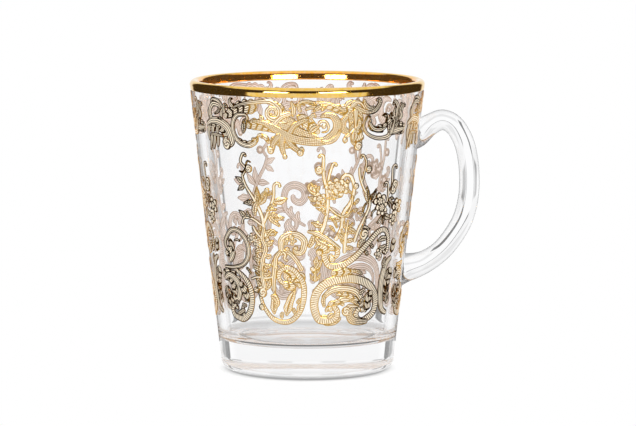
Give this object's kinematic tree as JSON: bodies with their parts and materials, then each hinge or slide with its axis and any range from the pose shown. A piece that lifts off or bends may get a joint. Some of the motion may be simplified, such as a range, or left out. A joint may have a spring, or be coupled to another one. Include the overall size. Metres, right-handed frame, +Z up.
{
  "type": "glass tea cup",
  "caption": "Tapered clear glass tea cup with a side handle, a gilded lip and gilded scroll and vine ornament.",
  "frame": {"origin": "centre of the foot ring, on the table, on the axis of the cup", "axes": "+Z up along the axis of the cup, +X towards the handle, -Y towards the front of the ornament"},
  "size_m": [0.0988, 0.0804, 0.0992],
  "materials": {
    "clear_glass": "clear pressed glass, fire polished",
    "rim_gold": "bright polished gold film",
    "gold_film": "satin gold film with fine drawn lines"
  },
  "bodies": {
    "root": {"glass_body": "clear_glass", "handle": "clear_glass", "rim_gilding": "rim_gold", "frieze_front": "gold_film", "frieze_right": "gold_film", "frieze_left": "gold_film", "vines_front": "gold_film", "vines_right": "gold_film", "vines_left": "gold_film", "scrolls_front": "gold_film", "scrolls_right": "gold_film", "scrolls_left": "gold_film"}
  },
  "joints": []
}
